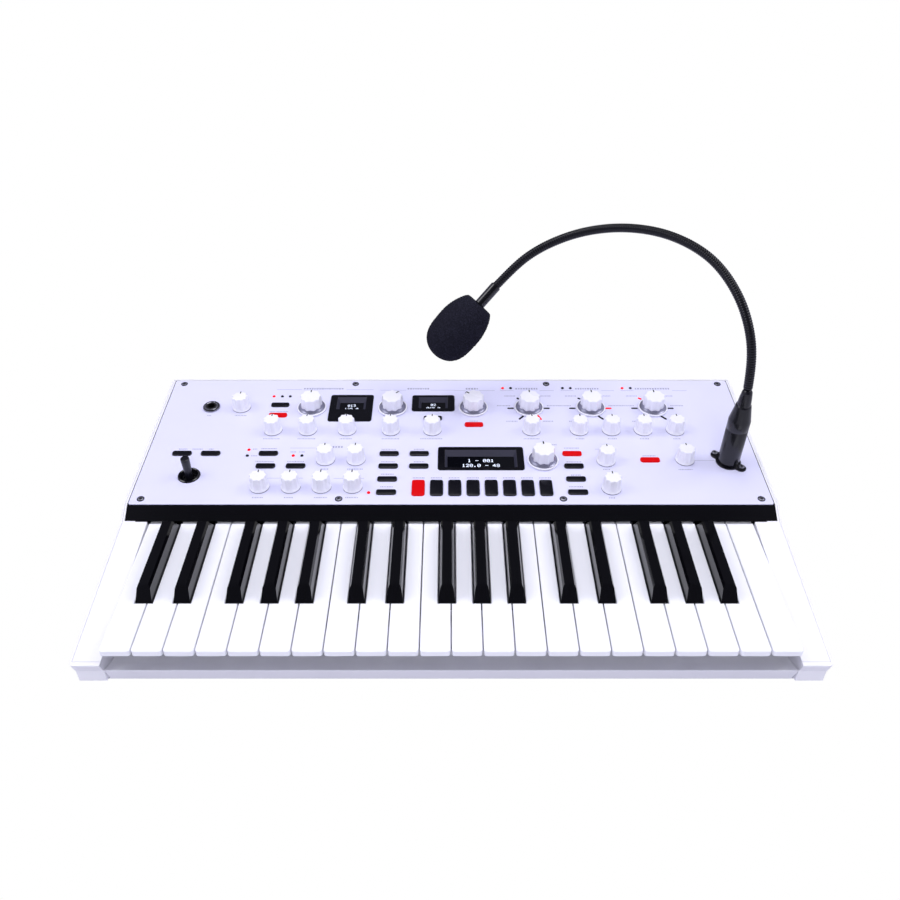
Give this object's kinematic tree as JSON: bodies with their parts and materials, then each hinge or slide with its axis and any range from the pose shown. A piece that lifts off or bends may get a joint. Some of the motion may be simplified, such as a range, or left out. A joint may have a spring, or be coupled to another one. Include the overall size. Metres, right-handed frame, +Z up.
{
  "type": "analog synthesizer",
  "caption": "Compact keyboard synthesizer with sprung keys, a sloping panel of knobs and buttons, a joystick and a plug-in gooseneck microphone.",
  "frame": {"origin": "on the table under the middle of the case", "axes": "+X to the player's right along the keyboard, +Y from the keys to the back, +Z up"},
  "size_m": [0.565, 0.3377, 0.255],
  "materials": {
    "white_abs": "moulded, fine grain",
    "key_white": "satin gloss",
    "key_black": "satin gloss",
    "pearl_metal": "pale pearl paint",
    "gloss_black": "polished",
    "board": "satin",
    "knob_white": "satin gloss",
    "chassis": "moulded",
    "nickel": "dark nickel plating",
    "socket_black": "satin black",
    "plug_metal": "black anodised",
    "neck_metal": "black coated",
    "foam": "open-cell foam",
    "stick": "satin"
  },
  "bodies": {
    "case": {"bottom_case": "white_abs", "top_case": "white_abs", "keybed_frame": "chassis", "key_riser": "gloss_black", "top_panel": "pearl_metal", "control_board": "board", "main_display": "gloss_black", "phones_jack": "nickel", "xlr_socket": "socket_black"},
    "oscillator_knob": {"oscillator_knob": "knob_white"},
    "drive_effect_knob": {"drive_effect_knob": "knob_white"},
    "mod_effect_knob": {"mod_effect_knob": "knob_white"},
    "delay_effect_knob": {"delay_effect_knob": "knob_white"},
    "program_knob": {"program_knob": "knob_white"},
    "filter_knob": {"filter_knob": "knob_white"},
    "amp_knob": {"amp_knob": "knob_white"},
    "joystick_yoke": {"joystick_yoke": "nickel"},
    "joystick_lever": {"joystick_lever": "stick"},
    "microphone_plug": {"mic_connector": "plug_metal"},
    "microphone_neck": {"gooseneck": "neck_metal", "windscreen": "foam"},
    "octave_down_button": {"octave_down_button": "board"},
    "octave_up_button": {"octave_up_button": "board"},
    "white_key_c3": {"white_key_c3": "key_white"},
    "black_key_c_sharp3": {"black_key_c_sharp3": "key_black"},
    "white_key_d3": {"white_key_d3": "key_white"},
    "black_key_d_sharp3": {"black_key_d_sharp3": "key_black"},
    "white_key_e3": {"white_key_e3": "key_white"},
    "white_key_f3": {"white_key_f3": "key_white"},
    "black_key_f_sharp3": {"black_key_f_sharp3": "key_black"},
    "white_key_g3": {"white_key_g3": "key_white"},
    "black_key_g_sharp3": {"black_key_g_sharp3": "key_black"},
    "white_key_a3": {"white_key_a3": "key_white"},
    "black_key_a_sharp3": {"black_key_a_sharp3": "key_black"},
    "white_key_b3": {"white_key_b3": "key_white"},
    "white_key_c4": {"white_key_c4": "key_white"},
    "black_key_c_sharp4": {"black_key_c_sharp4": "key_black"},
    "white_key_d4": {"white_key_d4": "key_white"},
    "black_key_d_sharp4": {"black_key_d_sharp4": "key_black"},
    "white_key_e4": {"white_key_e4": "key_white"},
    "white_key_f4": {"white_key_f4": "key_white"},
    "black_key_f_sharp4": {"black_key_f_sharp4": "key_black"},
    "white_key_g4": {"white_key_g4": "key_white"},
    "black_key_g_sharp4": {"black_key_g_sharp4": "key_black"},
    "white_key_a4": {"white_key_a4": "key_white"},
    "black_key_a_sharp4": {"black_key_a_sharp4": "key_black"},
    "white_key_b4": {"white_key_b4": "key_white"},
    "white_key_c5": {"white_key_c5": "key_white"},
    "black_key_c_sharp5": {"black_key_c_sharp5": "key_black"},
    "white_key_d5": {"white_key_d5": "key_white"},
    "black_key_d_sharp5": {"black_key_d_sharp5": "key_black"},
    "white_key_e5": {"white_key_e5": "key_white"},
    "white_key_f5": {"white_key_f5": "key_white"},
    "black_key_f_sharp5": {"black_key_f_sharp5": "key_black"},
    "white_key_g5": {"white_key_g5": "key_white"},
    "black_key_g_sharp5": {"black_key_g_sharp5": "key_black"},
    "white_key_a5": {"white_key_a5": "key_white"},
    "black_key_a_sharp5": {"black_key_a_sharp5": "key_black"},
    "white_key_b5": {"white_key_b5": "key_white"},
    "white_key_c6": {"white_key_c6": "key_white"}
  },
  "joints": [
    {"name": "oscillator_knob_turn", "type": "hinge", "parent": "case", "child": "oscillator_knob", "pos_m": [-0.1355, 0.11968, 0.07707], "axis": [0, -0.058, 0.9983], "continuous": true},
    {"name": "drive_effect_knob_turn", "type": "hinge", "parent": "case", "child": "drive_effect_knob", "pos_m": [0.07601, 0.11968, 0.07707], "axis": [0, -0.058, 0.9983], "continuous": true},
    {"name": "mod_effect_knob_turn", "type": "hinge", "parent": "case", "child": "mod_effect_knob", "pos_m": [0.13619, 0.11968, 0.07707], "axis": [0, -0.058, 0.9983], "continuous": true},
    {"name": "delay_effect_knob_turn", "type": "hinge", "parent": "case", "child": "delay_effect_knob", "pos_m": [0.19671, 0.11968, 0.07707], "axis": [0, -0.058, 0.9983], "continuous": true},
    {"name": "program_knob_turn", "type": "hinge", "parent": "case", "child": "program_knob", "pos_m": [0.0836, 0.04251, 0.07258], "axis": [0, -0.058, 0.9983], "continuous": true},
    {"name": "filter_knob_turn", "type": "hinge", "parent": "case", "child": "filter_knob", "pos_m": [-0.05679, 0.11968, 0.07707], "axis": [0, -0.058, 0.9983], "range_deg": [-150, 150]},
    {"name": "amp_knob_turn", "type": "hinge", "parent": "case", "child": "amp_knob", "pos_m": [0.02179, 0.11968, 0.07707], "axis": [0, -0.058, 0.9983], "range_deg": [-150, 150]},
    {"name": "joystick_side_tilt", "type": "hinge", "parent": "case", "child": "joystick_yoke", "pos_m": [-0.23349, 0.02297, 0.06243], "axis": [0, 0.9983, 0.058], "range_deg": [-15, 15], "stiffness_Nm_per_rad": 0.04},
    {"name": "joystick_fore_tilt", "type": "hinge", "parent": "joystick_yoke", "child": "joystick_lever", "pos_m": [-0.23349, 0.02297, 0.06243], "axis": [1, 0, 0], "range_deg": [-15, 15], "stiffness_Nm_per_rad": 0.04},
    {"name": "microphone_unplug", "type": "slide", "parent": "case", "child": "microphone_plug", "axis": [0, -0.058, 0.9983], "range_m": [0, 0.03]},
    {"name": "gooseneck_bend", "type": "hinge", "parent": "microphone_plug", "child": "microphone_neck", "pos_m": [0.25131, 0.03628, 0.15035], "axis": [0, 1, 0], "range_deg": [-8, 25]},
    {"name": "octave_down_button_press", "type": "slide", "parent": "case", "child": "octave_down_button", "axis": [0, 0.058, -0.9983], "range_m": [0, 0.0012], "stiffness_N_per_m": 400, "springref_m": -0.001},
    {"name": "octave_up_button_press", "type": "slide", "parent": "case", "child": "octave_up_button", "axis": [0, 0.058, -0.9983], "range_m": [0, 0.0012], "stiffness_N_per_m": 400, "springref_m": -0.001},
    {"name": "white_key_c3_press", "type": "hinge", "parent": "case", "child": "white_key_c3", "pos_m": [-0.24675, 0.005, 0.052], "axis": [1, 0, 0], "range_deg": [0, 3.3], "stiffness_Nm_per_rad": 0.3, "springref_deg": -17.19},
    {"name": "black_key_c_sharp3_press", "type": "hinge", "parent": "case", "child": "black_key_c_sharp3", "pos_m": [-0.2377, 0.005, 0.052], "axis": [1, 0, 0], "range_deg": [0, 3.3], "stiffness_Nm_per_rad": 0.3, "springref_deg": -17.19},
    {"name": "white_key_d3_press", "type": "hinge", "parent": "case", "child": "white_key_d3", "pos_m": [-0.22325, 0.005, 0.052], "axis": [1, 0, 0], "range_deg": [0, 3.3], "stiffness_Nm_per_rad": 0.3, "springref_deg": -17.19},
    {"name": "black_key_d_sharp3_press", "type": "hinge", "parent": "case", "child": "black_key_d_sharp3", "pos_m": [-0.2082, 0.005, 0.052], "axis": [1, 0, 0], "range_deg": [0, 3.3], "stiffness_Nm_per_rad": 0.3, "springref_deg": -17.19},
    {"name": "white_key_e3_press", "type": "hinge", "parent": "case", "child": "white_key_e3", "pos_m": [-0.19975, 0.005, 0.052], "axis": [1, 0, 0], "range_deg": [0, 3.3], "stiffness_Nm_per_rad": 0.3, "springref_deg": -17.19},
    {"name": "white_key_f3_press", "type": "hinge", "parent": "case", "child": "white_key_f3", "pos_m": [-0.17625, 0.005, 0.052], "axis": [1, 0, 0], "range_deg": [0, 3.3], "stiffness_Nm_per_rad": 0.3, "springref_deg": -17.19},
    {"name": "black_key_f_sharp3_press", "type": "hinge", "parent": "case", "child": "black_key_f_sharp3", "pos_m": [-0.1678, 0.005, 0.052], "axis": [1, 0, 0], "range_deg": [0, 3.3], "stiffness_Nm_per_rad": 0.3, "springref_deg": -17.19},
    {"name": "white_key_g3_press", "type": "hinge", "parent": "case", "child": "white_key_g3", "pos_m": [-0.15275, 0.005, 0.052], "axis": [1, 0, 0], "range_deg": [0, 3.3], "stiffness_Nm_per_rad": 0.3, "springref_deg": -17.19},
    {"name": "black_key_g_sharp3_press", "type": "hinge", "parent": "case", "child": "black_key_g_sharp3", "pos_m": [-0.1406, 0.005, 0.052], "axis": [1, 0, 0], "range_deg": [0, 3.3], "stiffness_Nm_per_rad": 0.3, "springref_deg": -17.19},
    {"name": "white_key_a3_press", "type": "hinge", "parent": "case", "child": "white_key_a3", "pos_m": [-0.12925, 0.005, 0.052], "axis": [1, 0, 0], "range_deg": [0, 3.3], "stiffness_Nm_per_rad": 0.3, "springref_deg": -17.19},
    {"name": "black_key_a_sharp3_press", "type": "hinge", "parent": "case", "child": "black_key_a_sharp3", "pos_m": [-0.1137, 0.005, 0.052], "axis": [1, 0, 0], "range_deg": [0, 3.3], "stiffness_Nm_per_rad": 0.3, "springref_deg": -17.19},
    {"name": "white_key_b3_press", "type": "hinge", "parent": "case", "child": "white_key_b3", "pos_m": [-0.10575, 0.005, 0.052], "axis": [1, 0, 0], "range_deg": [0, 3.3], "stiffness_Nm_per_rad": 0.3, "springref_deg": -17.19},
    {"name": "white_key_c4_press", "type": "hinge", "parent": "case", "child": "white_key_c4", "pos_m": [-0.08225, 0.005, 0.052], "axis": [1, 0, 0], "range_deg": [0, 3.3], "stiffness_Nm_per_rad": 0.3, "springref_deg": -17.19},
    {"name": "black_key_c_sharp4_press", "type": "hinge", "parent": "case", "child": "black_key_c_sharp4", "pos_m": [-0.0732, 0.005, 0.052], "axis": [1, 0, 0], "range_deg": [0, 3.3], "stiffness_Nm_per_rad": 0.3, "springref_deg": -17.19},
    {"name": "white_key_d4_press", "type": "hinge", "parent": "case", "child": "white_key_d4", "pos_m": [-0.05875, 0.005, 0.052], "axis": [1, 0, 0], "range_deg": [0, 3.3], "stiffness_Nm_per_rad": 0.3, "springref_deg": -17.19},
    {"name": "black_key_d_sharp4_press", "type": "hinge", "parent": "case", "child": "black_key_d_sharp4", "pos_m": [-0.0437, 0.005, 0.052], "axis": [1, 0, 0], "range_deg": [0, 3.3], "stiffness_Nm_per_rad": 0.3, "springref_deg": -17.19},
    {"name": "white_key_e4_press", "type": "hinge", "parent": "case", "child": "white_key_e4", "pos_m": [-0.03525, 0.005, 0.052], "axis": [1, 0, 0], "range_deg": [0, 3.3], "stiffness_Nm_per_rad": 0.3, "springref_deg": -17.19},
    {"name": "white_key_f4_press", "type": "hinge", "parent": "case", "child": "white_key_f4", "pos_m": [-0.01175, 0.005, 0.052], "axis": [1, 0, 0], "range_deg": [0, 3.3], "stiffness_Nm_per_rad": 0.3, "springref_deg": -17.19},
    {"name": "black_key_f_sharp4_press", "type": "hinge", "parent": "case", "child": "black_key_f_sharp4", "pos_m": [-0.0033, 0.005, 0.052], "axis": [1, 0, 0], "range_deg": [0, 3.3], "stiffness_Nm_per_rad": 0.3, "springref_deg": -17.19},
    {"name": "white_key_g4_press", "type": "hinge", "parent": "case", "child": "white_key_g4", "pos_m": [0.01175, 0.005, 0.052], "axis": [1, 0, 0], "range_deg": [0, 3.3], "stiffness_Nm_per_rad": 0.3, "springref_deg": -17.19},
    {"name": "black_key_g_sharp4_press", "type": "hinge", "parent": "case", "child": "black_key_g_sharp4", "pos_m": [0.0239, 0.005, 0.052], "axis": [1, 0, 0], "range_deg": [0, 3.3], "stiffness_Nm_per_rad": 0.3, "springref_deg": -17.19},
    {"name": "white_key_a4_press", "type": "hinge", "parent": "case", "child": "white_key_a4", "pos_m": [0.03525, 0.005, 0.052], "axis": [1, 0, 0], "range_deg": [0, 3.3], "stiffness_Nm_per_rad": 0.3, "springref_deg": -17.19},
    {"name": "black_key_a_sharp4_press", "type": "hinge", "parent": "case", "child": "black_key_a_sharp4", "pos_m": [0.0508, 0.005, 0.052], "axis": [1, 0, 0], "range_deg": [0, 3.3], "stiffness_Nm_per_rad": 0.3, "springref_deg": -17.19},
    {"name": "white_key_b4_press", "type": "hinge", "parent": "case", "child": "white_key_b4", "pos_m": [0.05875, 0.005, 0.052], "axis": [1, 0, 0], "range_deg": [0, 3.3], "stiffness_Nm_per_rad": 0.3, "springref_deg": -17.19},
    {"name": "white_key_c5_press", "type": "hinge", "parent": "case", "child": "white_key_c5", "pos_m": [0.08225, 0.005, 0.052], "axis": [1, 0, 0], "range_deg": [0, 3.3], "stiffness_Nm_per_rad": 0.3, "springref_deg": -17.19},
    {"name": "black_key_c_sharp5_press", "type": "hinge", "parent": "case", "child": "black_key_c_sharp5", "pos_m": [0.0913, 0.005, 0.052], "axis": [1, 0, 0], "range_deg": [0, 3.3], "stiffness_Nm_per_rad": 0.3, "springref_deg": -17.19},
    {"name": "white_key_d5_press", "type": "hinge", "parent": "case", "child": "white_key_d5", "pos_m": [0.10575, 0.005, 0.052], "axis": [1, 0, 0], "range_deg": [0, 3.3], "stiffness_Nm_per_rad": 0.3, "springref_deg": -17.19},
    {"name": "black_key_d_sharp5_press", "type": "hinge", "parent": "case", "child": "black_key_d_sharp5", "pos_m": [0.1208, 0.005, 0.052], "axis": [1, 0, 0], "range_deg": [0, 3.3], "stiffness_Nm_per_rad": 0.3, "springref_deg": -17.19},
    {"name": "white_key_e5_press", "type": "hinge", "parent": "case", "child": "white_key_e5", "pos_m": [0.12925, 0.005, 0.052], "axis": [1, 0, 0], "range_deg": [0, 3.3], "stiffness_Nm_per_rad": 0.3, "springref_deg": -17.19},
    {"name": "white_key_f5_press", "type": "hinge", "parent": "case", "child": "white_key_f5", "pos_m": [0.15275, 0.005, 0.052], "axis": [1, 0, 0], "range_deg": [0, 3.3], "stiffness_Nm_per_rad": 0.3, "springref_deg": -17.19},
    {"name": "black_key_f_sharp5_press", "type": "hinge", "parent": "case", "child": "black_key_f_sharp5", "pos_m": [0.1612, 0.005, 0.052], "axis": [1, 0, 0], "range_deg": [0, 3.3], "stiffness_Nm_per_rad": 0.3, "springref_deg": -17.19},
    {"name": "white_key_g5_press", "type": "hinge", "parent": "case", "child": "white_key_g5", "pos_m": [0.17625, 0.005, 0.052], "axis": [1, 0, 0], "range_deg": [0, 3.3], "stiffness_Nm_per_rad": 0.3, "springref_deg": -17.19},
    {"name": "black_key_g_sharp5_press", "type": "hinge", "parent": "case", "child": "black_key_g_sharp5", "pos_m": [0.1884, 0.005, 0.052], "axis": [1, 0, 0], "range_deg": [0, 3.3], "stiffness_Nm_per_rad": 0.3, "springref_deg": -17.19},
    {"name": "white_key_a5_press", "type": "hinge", "parent": "case", "child": "white_key_a5", "pos_m": [0.19975, 0.005, 0.052], "axis": [1, 0, 0], "range_deg": [0, 3.3], "stiffness_Nm_per_rad": 0.3, "springref_deg": -17.19},
    {"name": "black_key_a_sharp5_press", "type": "hinge", "parent": "case", "child": "black_key_a_sharp5", "pos_m": [0.2153, 0.005, 0.052], "axis": [1, 0, 0], "range_deg": [0, 3.3], "stiffness_Nm_per_rad": 0.3, "springref_deg": -17.19},
    {"name": "white_key_b5_press", "type": "hinge", "parent": "case", "child": "white_key_b5", "pos_m": [0.22325, 0.005, 0.052], "axis": [1, 0, 0], "range_deg": [0, 3.3], "stiffness_Nm_per_rad": 0.3, "springref_deg": -17.19},
    {"name": "white_key_c6_press", "type": "hinge", "parent": "case", "child": "white_key_c6", "pos_m": [0.24675, 0.005, 0.052], "axis": [1, 0, 0], "range_deg": [0, 3.3], "stiffness_Nm_per_rad": 0.3, "springref_deg": -17.19}
  ]
}
